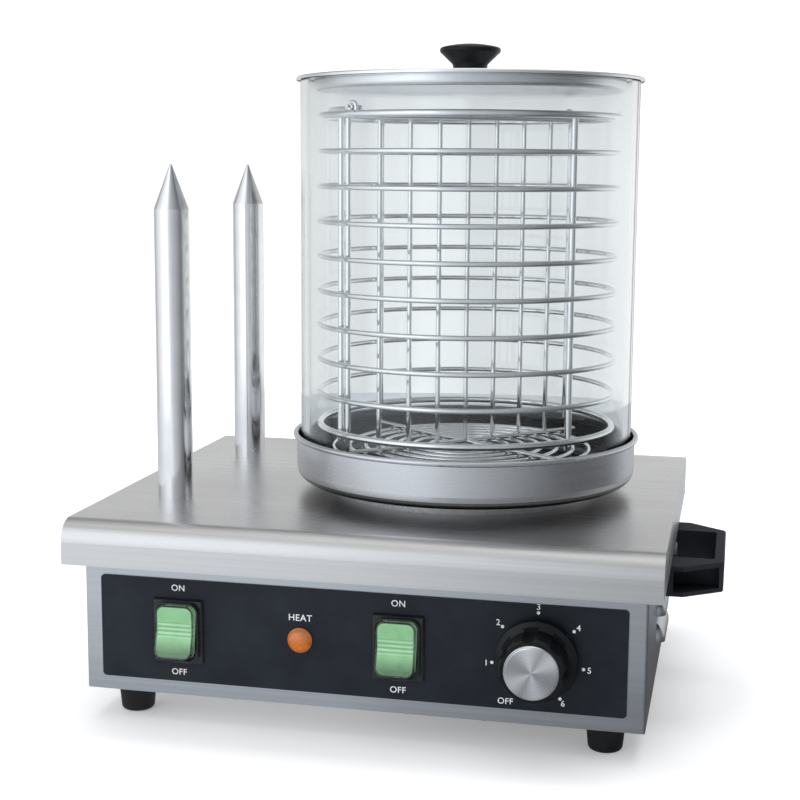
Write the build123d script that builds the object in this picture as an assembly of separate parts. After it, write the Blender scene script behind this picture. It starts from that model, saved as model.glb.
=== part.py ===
from build123d import *
import os
from math import cos, radians, sin, sqrt

# Hot dog steamer with two heated bun spikes, a glass cylinder and a wire basket.
# Millimetres. +Z up, +X to the operator's right, the control panel faces -Y.
# The origin is on the resting surface, below the middle of the cover.

os.makedirs("parts", exist_ok=True)

# ---------------------------------------------------------------- driving dimensions
SHEET = 1.0
FIT = 0.3                      # gap between pieces of different bodies

# Cover, housing, feet
COVER_W, COVER_D = 328.0, 278.0
COVER_TOP = 115.5
APRON = 24.5
NOSE_R = 12.0
HOUSING_W, HOUSING_D = 312.0, 251.2
HOUSING_BASE = 17.0
HOUSING_TOP = COVER_TOP - SHEET
FOOT_X, FOOT_Y = 134.0, 105.7
FOOT_TOP_R, FOOT_FLOOR_R = 10.9, 9.2
FRONT = -HOUSING_D / 2         # outer face of the housing's front wall

# Control panel and what is set in it
PANEL_W, PANEL_H, PANEL_T = 292.4, 58.4, 0.8
PANEL_Z = 54.2
PANEL_FACE = FRONT - PANEL_T
SWITCH_X = (-100.7, 23.9)
SWITCH_W, SWITCH_H = 28.8, 36.6
SWITCH_BODY_W, SWITCH_BODY_H = 21.8, 29.8
RING_W, RING_H, RING_R = 25.4, 33.6, 5.6
RING_WALL, RING_FRONT = 0.9, PANEL_FACE - 4.4
SEAT_Y = PANEL_FACE - 1.2      # floor behind the ring
ROCKER_W, ROCKER_H, ROCKER_R = 19.6, 27.4, 3.6
ROCKER_MIDDLE = 6.5            # pivot to the valley of the rocker's face
ROCKER_TILT = 8.0              # each half of the rocker's face, from the middle position
ROCKER_PIVOT_Y = PANEL_FACE
BOOT_WALL = 0.9
LAMP_X, LAMP_R = -30.7, 6.95
KNOB_X = 99.05
KNOB_SKIRT_R, KNOB_GRIP_R = 22.1, 17.4
KNOB_FLUTES, FLUTE_R, FLUTE_DEPTH = 7, 5.0, 1.7
KNOB_FACE = PANEL_FACE - 24.4
KNOB_POINTER = -85.0           # degrees clockwise from straight up, as it stands at rest
CAP_R = 14.4
CAP_FACE = PANEL_FACE - 26.0

# Steam chamber: heating plate, pan, glass, lid
GLASS_X, GLASS_Y = 34.6, 9.3
GLASS_R, GLASS_WALL, GLASS_EDGE = 100.0, 4.5, 0.8
PLATE_R, PLATE_T = 80.5, 6.5
PAN_FLOOR = COVER_TOP + PLATE_T
PAN_R, PAN_RIM = 102.5, COVER_TOP + 34.9
PAN_BEAD_R, PAN_CORNER = 1.6, 8.0
# The glass stands on the inside of the pan's round lower corner
GLASS_REACH = GLASS_R - (PAN_R - PAN_CORNER)
GLASS_FOOT = (PAN_FLOOR + PAN_CORNER - sqrt((PAN_CORNER - SHEET) ** 2 - GLASS_REACH ** 2)
              - GLASS_EDGE + 0.02)
LID_TOP = COVER_TOP + 244.8
LID_R = 102.4
LID_PLUG_R, LID_PLUG_DEPTH = 91.9, 8.2
LID_KNOB_TOP = COVER_TOP + 265.0

# Wire basket
HOOP_R, HOOP_WIRE, RIM_WIRE = 88.1, 1.5, 2.0
HOOPS = 10
HOOP_TOP = COVER_TOP + 222.2
HOOP_FOOT = COVER_TOP + 40.3
POST_WIRE = 1.9
POST_ANGLES = (-47.5, 53.0, 140.0, -128.0)
DIVIDER_ANGLE = -45.0
DIVIDER_PITCH, DIVIDER_COUNT, DIVIDER_WIRE = 20.5, 9, 1.5
GRID_Z = COVER_TOP + 25.2
GRID_PITCH, GRID_TURNS, GRID_WIRE = 9.8, 8, 1.5
BAIL_ANGLE, BAIL_R, BAIL_WIRE = -36.0, 81.0, 1.3
WELD = 0.02                    # wires of the basket stop this far apart at a weld
# Two bars lie crossed on the floor spiral, the second in two halves, and carry the divider
GRID_BAR_Z = GRID_Z + 2 * GRID_WIRE + WELD
CROSS_ANGLE = 52.0             # second bar, counted as the divider's angle is
BAR_REACH, LEG_R = 85.9, 84.0

# Bun spikes
SPIKE_X, SPIKE_Y = -127.5, (-58.0, 82.0)
SPIKE_R, SPIKE_TIP, SPIKE_CONE = 10.3, COVER_TOP + 194.1, 25.8
SPIKE_BORE_R = 5.2
SPIKE_SPIGOT_R = 8.0

# Side handles and louvres
HANDLE_TOP, HANDLE_FOOT = 89.5, 72.0
HANDLE_REACH = 192.6
HANDLE_BASE, HANDLE_SHOULDER = 55.5, 170.8
HANDLE_GRIP = 38.7
LOUVRE_Z = (40.0, 55.5)
LOUVRE_Y, LOUVRE_L, LOUVRE_H, LOUVRE_OUT = -14.0, 52.0, 10.0, 5.0


# ---------------------------------------------------------------- helpers
def block(x0, x1, y0, y1, z0, z1):
    """Box between two corners."""
    centre = ((x0 + x1) / 2, (y0 + y1) / 2, (z0 + z1) / 2)
    return Pos(*centre) * Box(abs(x1 - x0), abs(y1 - y0), abs(z1 - z0))


def rod(radius, start, end):
    """Round bar from one point to another."""
    axis = Vector(*end) - Vector(*start)
    frame = Plane(origin=start, z_dir=axis)
    return frame * Cylinder(radius, axis.length, align=(Align.CENTER, Align.CENTER, Align.MIN))


def disc(x, y, z0, z1, radius):
    """Upright cylinder between two heights."""
    return rod(radius, (x, y, z0), (x, y, z1))


def turned(outline, x=0.0, y=0.0):
    """Solid of revolution about an upright axis; the outline is a closed wire of (radius, z)."""
    return Pos(x, y, 0) * revolve(Plane.XZ * make_face(outline), Axis.Z)


def polygon(points):
    return Polyline(*points, close=True)


def turned_forward(points, x, z, face):
    """Solid of revolution about the Y axis; points are (radius, distance in front of face)."""
    shape = revolve(Plane.XZ * make_face(polygon(points)), Axis.Z)
    return Pos(x, face, z) * Rot(90, 0, 0) * shape


def rounded_bar(width, height, radius, x, z, y_back, y_front):
    """Bar with rounded corners that runs along Y."""
    profile = Plane.XZ * RectangleRounded(width, height, radius)
    length = y_back - y_front
    return Pos(x, y_back, z) * extrude(profile, amount=length)


def hexagon(across_flats, thickness, x, y, z):
    """Plain hexagon nut blank standing on z."""
    face = RegularPolygon(across_flats / 2, 6, major_radius=False)
    return Pos(x, y, z) * extrude(face, amount=thickness)


def around(angle, radius, x=GLASS_X, y=GLASS_Y):
    """Point on a circle about the glass axis; 0 degrees faces the operator, + turns right."""
    return (x + radius * sin(radians(angle)), y - radius * cos(radians(angle)))


def bent_wire(points, bends, radius):
    """Round wire along straight runs joined by tangent arcs."""
    path = FilletPolyline(*points, radius=bends)
    start = path.location_at(0)
    section = Plane(origin=start.position, z_dir=path.tangent_at(0)) * Circle(radius)
    return sweep(section, path=path)


def write(name, *solids):
    shape = solids[0] if len(solids) == 1 else Compound(children=list(solids))
    export_step(shape, f"parts/{name}.step")


def mirrored(shape):
    return mirror(shape, about=Plane.YZ)


# ---------------------------------------------------------------- housing
def louvre_profile(reach, height):
    """Upright section of a pressed louvre: round back, open below; (out, up) from the wall."""
    crown = (reach * 0.82, height * 0.52)
    edge = ThreePointArc((0, height), crown, (reach, 0))
    return edge, Polyline((reach, 0), (0, 0), (0, height))


def louvre_hood(reach, height, length):
    """Half of a flattened dome drawn out along Y, against the plane x = 0."""
    face = make_face(louvre_profile(reach, height))
    upright = Plane.XZ * face
    middle = Pos(0, length / 2, 0) * extrude(upright, amount=length)
    end = revolve(upright, Axis.Z, revolution_arc=90)
    back = Pos(0, length / 2, 0) * end
    front = Pos(0, -length / 2, 0) * mirror(end, about=Plane.XZ)
    return middle + back + front


def louvre(z):
    """Louvre sheet outside the right wall, and the space it leaves open."""
    wall = HOUSING_W / 2
    straight = LOUVRE_L - 2 * LOUVRE_OUT
    hood = Pos(wall, LOUVRE_Y, z) * louvre_hood(LOUVRE_OUT, LOUVRE_H, straight)
    inside = louvre_hood(LOUVRE_OUT - SHEET, LOUVRE_H - 1.6, straight)
    room = Pos(wall, LOUVRE_Y, z - 0.01) * inside
    slot = block(wall - 2, wall + 0.01, LOUVRE_Y - straight / 2, LOUVRE_Y + straight / 2,
                 z, z + LOUVRE_H - 2.6)
    return hood, room + slot


def housing():
    half_w, half_d = HOUSING_W / 2, HOUSING_D / 2
    outer = extrude(RectangleRounded(HOUSING_W, HOUSING_D, 1.6), HOUSING_TOP - HOUSING_BASE)
    inner = extrude(RectangleRounded(HOUSING_W - 2 * SHEET, HOUSING_D - 2 * SHEET, 0.6),
                    HOUSING_TOP - HOUSING_BASE)
    shell = Pos(0, 0, HOUSING_BASE) * (outer - inner)
    # Inward lip that the bottom plate is screwed to
    lip_z = HOUSING_BASE + SHEET
    lip = block(-half_w + SHEET, half_w - SHEET, -half_d + SHEET, half_d - SHEET,
                lip_z, lip_z + SHEET)
    lip -= block(-half_w + 13, half_w - 13, -half_d + 13, half_d - 13, lip_z - 1, lip_z + 2)
    shell += lip
    # Corner tabs that the cover's studs pass through
    for sx in (-1, 1):
        for sy in (-1, 1):
            x, y = sx * (half_w - SHEET), sy * (half_d - SHEET)
            tab = block(x, x - sx * 16, y, y - sy * 16, HOUSING_TOP - SHEET, HOUSING_TOP)
            tab -= disc(x - sx * 8, y - sy * 8, HOUSING_TOP - 2, HOUSING_TOP + 1, 2.2)
            shell += tab
    # Front openings
    for x in SWITCH_X:
        shell -= block(x - 11.1, x + 11.1, FRONT - 2, FRONT + 4, PANEL_Z - 15.1, PANEL_Z + 15.1)
    shell -= rod(5.2, (LAMP_X, FRONT - 2, PANEL_Z), (LAMP_X, FRONT + 4, PANEL_Z))
    shell -= rod(6.2, (KNOB_X, FRONT - 2, PANEL_Z), (KNOB_X, FRONT + 4, PANEL_Z))
    for sx in (-1, 1):
        x = KNOB_X + sx * 14
        shell -= rod(2.1, (x, FRONT - 2, PANEL_Z), (x, FRONT + 4, PANEL_Z))
    # Rear opening for the cable gland, and its earth stud
    shell -= rod(10.1, (GLAND_X, half_d - 4, GLAND_Z), (GLAND_X, half_d + 2, GLAND_Z))
    # Sides: handle screws and louvres
    for sx in (-1, 1):
        for y in HANDLE_SCREW_Y:
            shell -= rod(2.2, (sx * (half_w - 3), y, HANDLE_SCREW_Z),
                         (sx * (half_w + 1), y, HANDLE_SCREW_Z))
    for z in LOUVRE_Z:
        hood, room = louvre(z)
        shell = shell + hood - room
        shell = shell + mirrored(hood) - mirrored(room)
    for x, y in LIP_SCREWS:
        shell -= disc(x, y, lip_z - 0.5, lip_z + 2, 1.6)
    return shell


def cover_section(inset):
    """Outline of the cover from the side: flat top, round nose, straight apron."""
    front, back = -COVER_D / 2 + inset, COVER_D / 2 - inset
    top = COVER_TOP - inset
    foot = COVER_TOP - APRON - (5 if inset else 0)
    nose, tail = NOSE_R - inset, 2.4 - inset
    outline = [
        Line((front, foot), (front, top - nose)),
        ThreePointArc((front, top - nose),
                      (front + nose * (1 - sqrt(0.5)), top - nose * (1 - sqrt(0.5))),
                      (front + nose, top)),
        Line((front + nose, top), (back - tail, top)),
        ThreePointArc((back - tail, top),
                      (back - tail * (1 - sqrt(0.5)), top - tail * (1 - sqrt(0.5))),
                      (back, top - tail)),
        Line((back, top - tail), (back, foot)),
        Line((back, foot), (front, foot)),
    ]
    return make_face(Plane.YZ * Wire(outline))


def top_cover():
    half_w, half_d = COVER_W / 2, COVER_D / 2
    body = extrude(cover_section(0.0), amount=half_w, both=True)
    room = extrude(cover_section(SHEET), amount=half_w - SHEET, both=True)
    cover = body - room
    # The folded ends of the apron show as a fine seam in each side
    foot = COVER_TOP - APRON
    for sx in (-1, 1):
        seam = block(sx * (half_w - 0.35), sx * (half_w + 1), -half_d + SHEET,
                     -half_d + SHEET + 0.5, foot - 1, COVER_TOP - NOSE_R)
        cover -= seam
    # Studs that hold the cover on the housing
    for x, y in COVER_STUDS:
        cover += disc(x, y, HOUSING_TOP - 14, HOUSING_TOP + 0.4, 2.0)
    # Openings under the heating plate and the spikes
    cover -= disc(GLASS_X, GLASS_Y, HOUSING_TOP - 1, COVER_TOP + 1, 70)
    for y in SPIKE_Y:
        cover -= disc(SPIKE_X, y, HOUSING_TOP - 1, COVER_TOP + 1, SPIKE_SPIGOT_R + 0.1)
    for angle in PLATE_STUD_ANGLES:
        x, y = around(angle, 75)
        cover -= disc(x, y, HOUSING_TOP - 1, COVER_TOP + 1, 2.2)
    return cover


def bottom_plate():
    plate = block(-HOUSING_W / 2 + SHEET + 0.2, HOUSING_W / 2 - SHEET - 0.2,
                  -HOUSING_D / 2 + SHEET + 0.2, HOUSING_D / 2 - SHEET - 0.2,
                  HOUSING_BASE, HOUSING_BASE + SHEET)
    for x, y in FEET:
        plate -= disc(x, y, HOUSING_BASE - 1, HOUSING_BASE + 2, 2.1)
    for x, y in LIP_SCREWS:
        plate -= disc(x, y, HOUSING_BASE - 1, HOUSING_BASE + 2, 1.8)
    # Two banks of air slots
    for bank in (-60, 60):
        for row in range(6):
            x = bank + (row - 2.5) * 9
            slot = Pos(x, 0, HOUSING_BASE - 1) * extrude(SlotOverall(70, 4, rotation=90), 4)
            plate -= slot
    return plate


def foot(x, y):
    """Rubber foot: tapered, round lower edge, screw pocket underneath."""
    edge = 2.0
    lean = (FOOT_TOP_R - FOOT_FLOOR_R) / HOUSING_BASE
    outline = Wire([
        Line((0, 0), (FOOT_FLOOR_R - edge, 0)),
        ThreePointArc((FOOT_FLOOR_R - edge, 0),
                      (FOOT_FLOOR_R - edge * 0.29, edge * 0.29),
                      (FOOT_FLOOR_R + lean * edge, edge)),
        Line((FOOT_FLOOR_R + lean * edge, edge), (FOOT_TOP_R, HOUSING_BASE)),
        Line((FOOT_TOP_R, HOUSING_BASE), (0, HOUSING_BASE)),
        Line((0, HOUSING_BASE), (0, 0)),
    ])
    body = turned(outline, x, y)
    body -= disc(x, y, -1, 8, 4.6)
    return body - disc(x, y, 7, HOUSING_BASE + 1, 2.05)


def foot_screw(x, y):
    return disc(x, y, 5.4, 8.0, 4.2) + disc(x, y, 7.9, 26.0, 2.0) - disc(x, y, 5, 6.6, 1.1)


def nut(x, y, z, thread_r, across, thickness):
    return hexagon(across, thickness, x, y, z) - disc(x, y, z - 1, z + thickness + 1, thread_r)


def lip_screw(x, y):
    """Pan head screw that holds the bottom plate to the lip."""
    head = disc(x, y, HOUSING_BASE - 1.8, HOUSING_BASE, 3.0)
    slot = block(x - 2.2, x + 2.2, y - 0.4, y + 0.4, HOUSING_BASE - 3, HOUSING_BASE - 1.1)
    return head - slot + disc(x, y, HOUSING_BASE - 0.1, HOUSING_BASE + 6, 1.5)


FEET = [(sx * FOOT_X, sy * FOOT_Y) for sx in (-1, 1) for sy in (-1, 1)]
LIP_SCREWS = [(sx * 149, sy * 60) for sx in (-1, 1) for sy in (-1, 1)]
LIP_SCREWS += [(sx * 70, sy * 118.5) for sx in (-1, 1) for sy in (-1, 1)]
COVER_STUDS = [(sx * (HOUSING_W / 2 - SHEET - 8), sy * (HOUSING_D / 2 - SHEET - 8))
               for sx in (-1, 1) for sy in (-1, 1)]
PLATE_STUD_ANGLES = (30, 150, 270)
GLAND_X, GLAND_Z = 110.0, 40.0
HANDLE_SCREW_Y = (-22.0, 22.0)
HANDLE_SCREW_Z = (HANDLE_TOP + HANDLE_FOOT) / 2

write("housing", housing())
write("top_cover", top_cover())
write("bottom_plate", bottom_plate())
write("feet", *[foot(x, y) for x, y in FEET])
write("foot_screws", *[foot_screw(x, y) for x, y in FEET])
write("foot_nuts", *[nut(x, y, HOUSING_BASE + SHEET, 2.0, 7, 3.2) for x, y in FEET])
write("bottom_screws", *[lip_screw(x, y) for x, y in LIP_SCREWS])
write("cover_nuts", *[nut(x, y, HOUSING_TOP - SHEET - 3.2, 2.0, 7, 3.2)
                      for x, y in COVER_STUDS])


# ---------------------------------------------------------------- control panel
def control_panel():
    plate = rounded_bar(PANEL_W, PANEL_H, 2.2, 0, PANEL_Z, FRONT, PANEL_FACE)
    for x in SWITCH_X:
        plate -= block(x - 11.1, x + 11.1, FRONT - 3, FRONT + 1, PANEL_Z - 15.1, PANEL_Z + 15.1)
    plate -= rod(5.2, (LAMP_X, FRONT - 3, PANEL_Z), (LAMP_X, FRONT + 1, PANEL_Z))
    plate -= rod(6.2, (KNOB_X, FRONT - 3, PANEL_Z), (KNOB_X, FRONT + 1, PANEL_Z))
    for sx in (-1, 1):
        x = KNOB_X + sx * 14
        plate -= rod(2.1, (x, FRONT - 3, PANEL_Z), (x, FRONT + 1, PANEL_Z))
    return plate


def switch_body(x):
    """Black moulding: bevelled bezel, raised ring round the rocker, deep body, three tabs."""
    bezel_front = PANEL_FACE - 2.0
    body = rounded_bar(SWITCH_BODY_W, SWITCH_BODY_H, 1.0, x, PANEL_Z, FRONT + 27, PANEL_FACE)
    bezel = rounded_bar(SWITCH_W, SWITCH_H, 1.2, x, PANEL_Z, PANEL_FACE, bezel_front)
    body += chamfer(bezel.faces().sort_by(Axis.Y)[0].edges(), 0.7)
    ring = rounded_bar(RING_W, RING_H, RING_R, x, PANEL_Z, bezel_front + 0.2, RING_FRONT)
    body += fillet(ring.faces().sort_by(Axis.Y)[0].edges(), 0.4)
    # Room inside the ring, then the well of the rocker
    body -= rounded_bar(RING_W - 2 * RING_WALL, RING_H - 2 * RING_WALL, RING_R - RING_WALL,
                        x, PANEL_Z, SEAT_Y, RING_FRONT - 1)
    body -= block(x - 9.6, x + 9.6, PANEL_FACE + 6.0, RING_FRONT - 1,
                  PANEL_Z - 13.6, PANEL_Z + 13.6)
    for z in (-9, 0, 9):
        body += block(x - 3.1, x + 3.1, FRONT + 26.9, FRONT + 36,
                      PANEL_Z + z - 0.4, PANEL_Z + z + 0.4)
    # Stub axle that the rocker turns on
    body += rod(1.5, (x - 10.4, ROCKER_PIVOT_Y, PANEL_Z), (x + 10.4, ROCKER_PIVOT_Y, PANEL_Z))
    return body


def rocker_head(width, height, corner, valley, back):
    """Round cornered block with a shallow V face; the pivot is at the origin."""
    half = height / 2
    end = valley + half * sin(radians(ROCKER_TILT))
    outline = Wire(Polyline((-valley, 0), (-end, half), (-back, half), (-back, -half),
                            (-end, -half), close=True).edges())
    body = extrude(make_face(Plane.YZ * outline), amount=width / 2, both=True)
    return body & rounded_bar(width, height, corner, 0, 0, 0, -20)


def rocker_pose(x, body):
    """Puts a rocker piece in its switch with its upper half pressed in (on)."""
    return Pos(x, ROCKER_PIVOT_Y, PANEL_Z) * Rot(-ROCKER_TILT, 0, 0) * body


def rocker(x):
    """Rocker with finger ridges beside the valley of its face, and a bored trunk."""
    body = rocker_head(ROCKER_W, ROCKER_H, ROCKER_R, ROCKER_MIDDLE, 3.5)
    body += block(-9.2, 9.2, -3.7, 3.0, -11, 11)
    for step in (-3.6, -1.2, 1.2, 3.6):
        depth = ROCKER_MIDDLE + abs(step) * sin(radians(ROCKER_TILT))
        body += Pos(0, -depth, step) * Box(ROCKER_W - 3, 0.6, 0.8)
    body -= rod(1.55, (-20, 0, 0), (20, 0, 0))
    return rocker_pose(x, body)


def switch_boot(x):
    """Clear cap clipped over the rocker's head; it turns with the rocker."""
    grow, gap = 2 * (BOOT_WALL + 0.1), 0.1
    outer = rocker_head(ROCKER_W + grow, ROCKER_H + grow, ROCKER_R + 1.0,
                        ROCKER_MIDDLE + BOOT_WALL + 0.4, 3.6)
    outer = fillet(outer.faces().sort_by(Axis.Y)[0:2].edges().filter_by(
        lambda e: e.center().Y < -ROCKER_MIDDLE - BOOT_WALL - 0.6), 0.8)
    inner = rocker_head(ROCKER_W + 2 * gap, ROCKER_H + 2 * gap, ROCKER_R + gap,
                        ROCKER_MIDDLE + 0.4, 2.0)
    return rocker_pose(x, outer - inner)


write("control_panel", control_panel())
for side, switch_x in zip(("left", "right"), SWITCH_X):
    write(f"{side}_switch_body", switch_body(switch_x))
    write(f"{side}_rocker", rocker(switch_x))
    write(f"{side}_switch_boot", switch_boot(switch_x))


def lamp_lens():
    """Domed amber lens with a thin foot ring."""
    outline = Wire([
        Line((0, 0), (LAMP_R, 0)),
        Line((LAMP_R, 0), (LAMP_R, 1.2)),
        Line((LAMP_R, 1.2), (6.5, 1.4)),
        ThreePointArc((6.5, 1.4), (4.5, 4.1), (0.4, 5.2)),
        Line((0.4, 5.2), (0, 5.2)),
        Line((0, 5.2), (0, 0)),
    ])
    solid = revolve(Plane.XZ * make_face(outline), Axis.Z)
    return Pos(LAMP_X, PANEL_FACE, PANEL_Z) * Rot(90, 0, 0) * solid


def lamp_body():
    """Lamp barrel behind the lens, with its terminals."""
    barrel = rod(5.1, (LAMP_X, PANEL_FACE, PANEL_Z), (LAMP_X, FRONT + 22, PANEL_Z))
    for sx in (-1, 1):
        barrel += block(LAMP_X + sx * 2.4 - 0.4, LAMP_X + sx * 2.4 + 0.4,
                        FRONT + 21.9, FRONT + 30, PANEL_Z - 2, PANEL_Z + 2)
    return barrel


def lamp_nut():
    face = Plane.XZ * (RegularPolygon(7, 6, major_radius=False) - Circle(5.1))
    return Pos(LAMP_X, FRONT + SHEET + 3, PANEL_Z) * extrude(face, amount=3)


write("pilot_lamp_lens", lamp_lens())
write("pilot_lamp_body", lamp_body())
write("pilot_lamp_nut", lamp_nut())


def thermostat_body():
    """Capillary thermostat: front bush, flange, switch block."""
    back = FRONT + SHEET
    body = block(KNOB_X - 20, KNOB_X + 20, back, back + 1.5, PANEL_Z - 10, PANEL_Z + 10)
    body += block(KNOB_X - 16, KNOB_X + 16, back + 1.4, back + 30, PANEL_Z - 16, PANEL_Z + 16)
    body += rod(5.8, (KNOB_X, FRONT - 0.6, PANEL_Z), (KNOB_X, back + 1, PANEL_Z))
    for sx in (-1, 1):
        x = KNOB_X + sx * 14
        body -= rod(1.55, (x, FRONT - 2, PANEL_Z), (x, back + 8, PANEL_Z))
        body += block(x - 3, x + 3, back + 29.9, back + 38, PANEL_Z - 8.4, PANEL_Z - 7.6)
    return body - rod(3.06, (KNOB_X, FRONT - 2, PANEL_Z), (KNOB_X, back + 20, PANEL_Z))


def thermostat_shaft():
    shaft = rod(3.0, (KNOB_X, KNOB_FACE + 6, PANEL_Z), (KNOB_X, FRONT + 18, PANEL_Z))
    flat = block(KNOB_X - 5, KNOB_X + 5, KNOB_FACE + 5, PANEL_FACE - 6,
                 PANEL_Z + 1.8, PANEL_Z + 5)
    return shaft - flat


def thermostat_screw(sx):
    x = KNOB_X + sx * 14
    head = rod(3.2, (x, PANEL_FACE - 1.8, PANEL_Z), (x, PANEL_FACE, PANEL_Z))
    return head + rod(1.5, (x, PANEL_FACE - 0.1, PANEL_Z), (x, FRONT + 8, PANEL_Z))


def thermostat_knob():
    """Black knob: thick skirt with a sloping face, fluted grip, a fine pointer groove."""
    gap = 0.6
    depth, skirt = PANEL_FACE - KNOB_FACE, 6.4
    outer = [(0, gap), (KNOB_SKIRT_R - 1.1, gap), (KNOB_SKIRT_R - 0.5, gap + 0.8),
             (KNOB_SKIRT_R, skirt), (KNOB_SKIRT_R - 0.3, skirt + 0.6),
             (KNOB_GRIP_R + 0.3, skirt + 2.2), (KNOB_GRIP_R, depth - 1.0),
             (KNOB_GRIP_R - 1.0, depth), (0, depth)]
    knob = turned_forward(outer, KNOB_X, PANEL_Z, PANEL_FACE)
    # Hollow behind, so that the two fixing screws have room
    hollow = [(6.0, gap - 1), (18.6, gap - 1), (18.6, 4.6), (13.6, 7.2), (13.4, 18.0), (6.0, 18.0)]
    knob -= turned_forward(hollow, KNOB_X, PANEL_Z, PANEL_FACE)
    flute_reach = KNOB_GRIP_R + FLUTE_R - FLUTE_DEPTH
    for flute in range(KNOB_FLUTES):
        turn = radians(KNOB_POINTER + 360 / KNOB_FLUTES * (flute + 0.5))
        x, z = KNOB_X + flute_reach * sin(turn), PANEL_Z + flute_reach * cos(turn)
        knob -= rod(FLUTE_R, (x, PANEL_FACE - skirt - 1.6, z), (x, KNOB_FACE - 2, z))
    knob -= pointer_groove([(14.6, depth), (KNOB_GRIP_R, depth)])
    knob -= pointer_groove([(KNOB_GRIP_R + 0.2, depth + 1), (KNOB_GRIP_R + 0.2, skirt + 2)])
    knob -= pointer_groove([(KNOB_GRIP_R, skirt + 2.4), (KNOB_SKIRT_R + 0.5, skirt + 0.5)])
    # Seat of the cap, and the bore for the shaft's D
    seat = rod(CAP_R, (KNOB_X, KNOB_FACE + 1.2, PANEL_Z), (KNOB_X, KNOB_FACE - 2, PANEL_Z))
    return knob - seat - thermostat_shaft()


def pointer_groove(ends):
    """Round cutter between two (radius, distance in front of the panel) points of the pointer."""
    turn = radians(KNOB_POINTER)
    start, end = [(KNOB_X + r * sin(turn), PANEL_FACE - out, PANEL_Z + r * cos(turn))
                  for r, out in ends]
    return rod(0.5, start, end)


def knob_cap():
    """Spun aluminium disc with a fine step at its edge."""
    thick = KNOB_FACE + 1.2 - CAP_FACE
    points = [(0, 0), (CAP_R, 0), (CAP_R, thick - 0.7), (CAP_R - 0.5, thick - 0.2),
              (CAP_R - 1.0, thick - 0.2), (CAP_R - 1.3, thick), (0, thick)]
    return turned_forward(points, KNOB_X, PANEL_Z, KNOB_FACE + 1.2)


write("thermostat_body", thermostat_body())
write("thermostat_screws", thermostat_screw(-1), thermostat_screw(1))
write("thermostat_shaft", thermostat_shaft())
write("thermostat_knob", thermostat_knob())
write("knob_cap", knob_cap())


# ---------------------------------------------------------------- heater under the pan
ELEMENT_R, ELEMENT_TUBE = 48.0, 4.2
ELEMENT_Z = COVER_TOP - ELEMENT_TUBE - 0.02


def heating_plate():
    """Aluminium disc that stands on the cover and spreads the heat; three studs below."""
    outline = polygon([(0, COVER_TOP), (PLATE_R, COVER_TOP),
                       (PLATE_R, PAN_FLOOR - 1.2), (PLATE_R - 1.2, PAN_FLOOR), (0, PAN_FLOOR)])
    plate = turned(outline, GLASS_X, GLASS_Y)
    for angle in PLATE_STUD_ANGLES:
        x, y = around(angle, 75)
        plate += disc(x, y, COVER_TOP - 12, COVER_TOP + 0.1, 2.0)
    return plate


def heating_element():
    """Tubular ring element with its two cold ends turned down."""
    sweep_angle = 330
    circle = Pos(ELEMENT_R, 0, 0) * Rot(90, 0, 0) * Circle(ELEMENT_TUBE)
    ring = revolve(circle, Axis.Z, revolution_arc=sweep_angle)
    ring = Pos(GLASS_X, GLASS_Y, ELEMENT_Z) * ring
    for turn in (0, sweep_angle):
        x = GLASS_X + ELEMENT_R * cos(radians(turn))
        y = GLASS_Y + ELEMENT_R * sin(radians(turn))
        ring += Pos(x, y, ELEMENT_Z) * Sphere(ELEMENT_TUBE)
        ring += disc(x, y, ELEMENT_Z - 22, ELEMENT_Z, ELEMENT_TUBE)
        ring += disc(x, y, ELEMENT_Z - 30, ELEMENT_Z - 21, 1.6)
    return ring


def reflector_tray():
    """Thin dish that holds the element up and keeps the heat off the wiring."""
    top, depth = HOUSING_TOP, 12.0
    outline = polygon([(0, top - depth), (66, top - depth), (66, top - SHEET), (79, top - SHEET),
                       (79, top), (65, top), (65, top - depth + SHEET), (0, top - depth + SHEET)])
    tray = turned(outline, GLASS_X, GLASS_Y)
    for angle in PLATE_STUD_ANGLES:
        x, y = around(angle, 75)
        tray -= disc(x, y, top - 2, top + 1, 2.2)
    for turn in (0, 330):
        x = GLASS_X + ELEMENT_R * cos(radians(turn))
        y = GLASS_Y + ELEMENT_R * sin(radians(turn))
        tray -= disc(x, y, top - depth - 1, top - depth + 2, ELEMENT_TUBE + 0.5)
    return tray


write("heating_plate", heating_plate())
write("heating_element", heating_element())
write("reflector_tray", reflector_tray())
write("heating_plate_nuts",
      *[nut(*around(angle, 75), HOUSING_TOP - SHEET - 3.2, 2.0, 7, 3.2)
        for angle in PLATE_STUD_ANGLES])


def capillary():
    """Sensing bulb under the tray and the thin tube back to the thermostat."""
    bulb_z, bulb_y = HOUSING_TOP - 12.0 - 3.2, GLASS_Y - 32
    bulb = rod(3.0, (GLASS_X - 30, bulb_y, bulb_z), (GLASS_X + 30, bulb_y, bulb_z))
    start = (GLASS_X + 30.02, bulb_y, bulb_z)
    path = [start, (KNOB_X, bulb_y, bulb_z), (KNOB_X, -50, PANEL_Z),
            (KNOB_X, FRONT + SHEET + 30.02, PANEL_Z)]
    return bulb, bent_wire(path, 8.0, 0.8)


bulb, tube = capillary()
write("thermostat_bulb", bulb)
write("thermostat_capillary", tube)


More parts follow.
